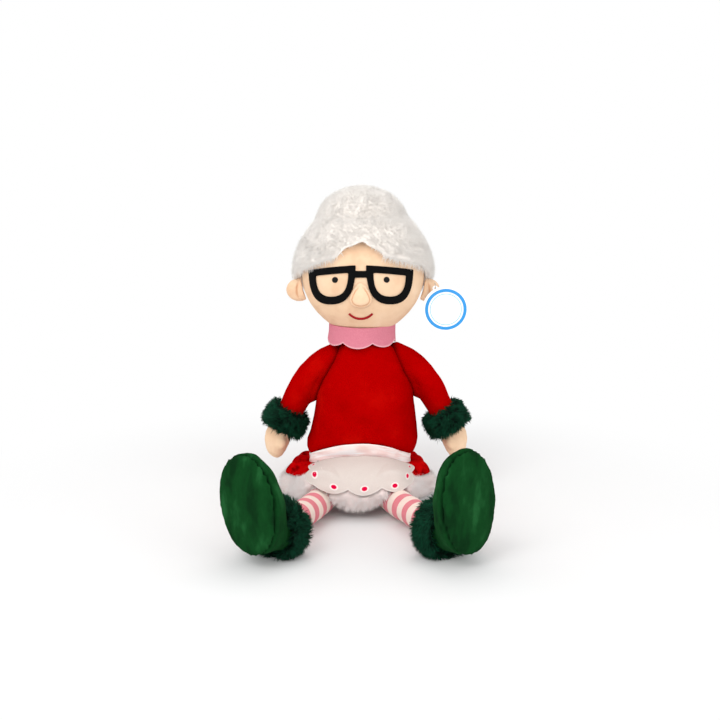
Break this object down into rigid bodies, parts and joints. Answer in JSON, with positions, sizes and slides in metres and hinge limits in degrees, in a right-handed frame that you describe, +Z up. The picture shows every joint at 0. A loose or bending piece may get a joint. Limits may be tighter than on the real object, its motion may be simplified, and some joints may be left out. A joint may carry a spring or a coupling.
{
  "type": "seated plush granny doll",
  "caption": "Seated stuffed granny doll in a sweater, skirt and apron, with spectacles, a hair bun, fur cuffs, striped legs and stuffed boots.",
  "frame": {"origin": "centre of the seat's flat underside, on the surface that the doll sits on", "axes": "+Z up, the doll faces -Y, its own right hand is on the -X side"},
  "size_m": [0.3039, 0.3761, 0.3995],
  "materials": {
    "red_plush": "short-pile plush",
    "cotton": "plain woven cotton",
    "pink_felt": "soft felt",
    "white_fur": "long-pile fur fabric",
    "white_felt": "felt with printed dots",
    "ribbon": "sheer organza ribbon",
    "skin_plush": "short-pile plush",
    "black_felt": "felt",
    "black_thread": "satin stitch",
    "red_thread": "satin stitch",
    "green_fur": "long-pile fur fabric",
    "striped_knit": "pink and cream striped cloth",
    "green_plush": "short-pile plush",
    "card": "coated card",
    "clear_nylon": "clear nylon wire"
  },
  "bodies": {
    "body": {"torso": "red_plush", "lower_body": "red_plush", "seat_pellet_bag": "cotton", "collar": "pink_felt", "skirt": "red_plush", "skirt_trim": "white_fur", "apron": "white_felt", "apron_waistband": "ribbon"},
    "neck": {"neck": "skin_plush"},
    "head": {"head": "skin_plush", "right_ear": "skin_plush", "left_ear": "skin_plush", "nose": "skin_plush", "glasses": "black_felt", "right_eye": "black_thread", "left_eye": "black_thread", "mouth": "red_thread", "hair": "white_fur", "hair_bun": "white_fur", "tag_loop": "clear_nylon"},
    "right_arm": {"right_sleeve": "red_plush", "right_sleeve_cuff": "green_fur"},
    "left_arm": {"left_sleeve": "red_plush", "left_sleeve_cuff": "green_fur"},
    "right_hand": {"right_hand": "skin_plush"},
    "left_hand": {"left_hand": "skin_plush"},
    "right_leg": {"right_leg": "striped_knit"},
    "left_leg": {"left_leg": "striped_knit"},
    "right_foot": {"right_boot": "green_plush", "right_boot_sole": "green_plush", "right_ankle_cuff": "green_fur"},
    "left_foot": {"left_boot": "green_plush", "left_boot_sole": "green_plush", "left_ankle_cuff": "green_fur"},
    "tag": {"hang_tag": "card"}
  },
  "joints": [
    {"name": "neck_turn", "type": "hinge", "parent": "body", "child": "neck", "pos_m": [0, 0.004, 0.206], "axis": [0, 0, 1], "range_deg": [-30, 30], "stiffness_Nm_per_rad": 0.5},
    {"name": "head_nod", "type": "hinge", "parent": "neck", "child": "head", "pos_m": [0, 0.004, 0.242], "axis": [1, 0, 0], "range_deg": [-12, 12], "stiffness_Nm_per_rad": 1.5, "deforming": ["collar"]},
    {"name": "right_shoulder", "type": "hinge", "parent": "body", "child": "right_arm", "pos_m": [-0.04039, 0, 0.17488], "axis": [-0.878, 0, 0.4787], "range_deg": [-40, 95]},
    {"name": "left_shoulder", "type": "hinge", "parent": "body", "child": "left_arm", "pos_m": [0.04839, 0, 0.17488], "axis": [-0.878, 0, -0.4787], "range_deg": [-40, 95]},
    {"name": "right_wrist", "type": "hinge", "parent": "right_arm", "child": "right_hand", "pos_m": [-0.10449, 0, 0.09365], "axis": [-0.878, 0, 0.4787], "range_deg": [-15, 15], "stiffness_Nm_per_rad": 0.2},
    {"name": "left_wrist", "type": "hinge", "parent": "left_arm", "child": "left_hand", "pos_m": [0.11249, 0, 0.09365], "axis": [-0.878, 0, -0.4787], "range_deg": [-15, 15], "stiffness_Nm_per_rad": 0.2},
    {"name": "right_hip", "type": "hinge", "parent": "body", "child": "right_leg", "pos_m": [-0.036, -0.05, 0.02], "axis": [1, 0, 0], "range_deg": [-45, 85], "deforming": ["skirt", "skirt_trim", "apron"]},
    {"name": "left_hip", "type": "hinge", "parent": "body", "child": "left_leg", "pos_m": [0.019, -0.05, 0.02], "axis": [1, 0, 0], "range_deg": [-45, 85]},
    {"name": "right_ankle", "type": "hinge", "parent": "right_leg", "child": "right_foot", "pos_m": [-0.09551, -0.22786, 0.033], "axis": [0.8434, -0.5373, 0], "range_deg": [-10, 15], "stiffness_Nm_per_rad": 0.6},
    {"name": "left_ankle", "type": "hinge", "parent": "left_leg", "child": "left_foot", "pos_m": [0.09076, -0.22761, 0.033], "axis": [0.829, 0.5592, 0], "range_deg": [-10, 15], "stiffness_Nm_per_rad": 0.6},
    {"name": "tag_swing", "type": "hinge", "parent": "head", "child": "tag", "pos_m": [0.0916, -0.018, 0.2745], "axis": [0, -1, 0], "range_deg": [-4, 60], "stiffness_Nm_per_rad": 0.02}
  ]
}
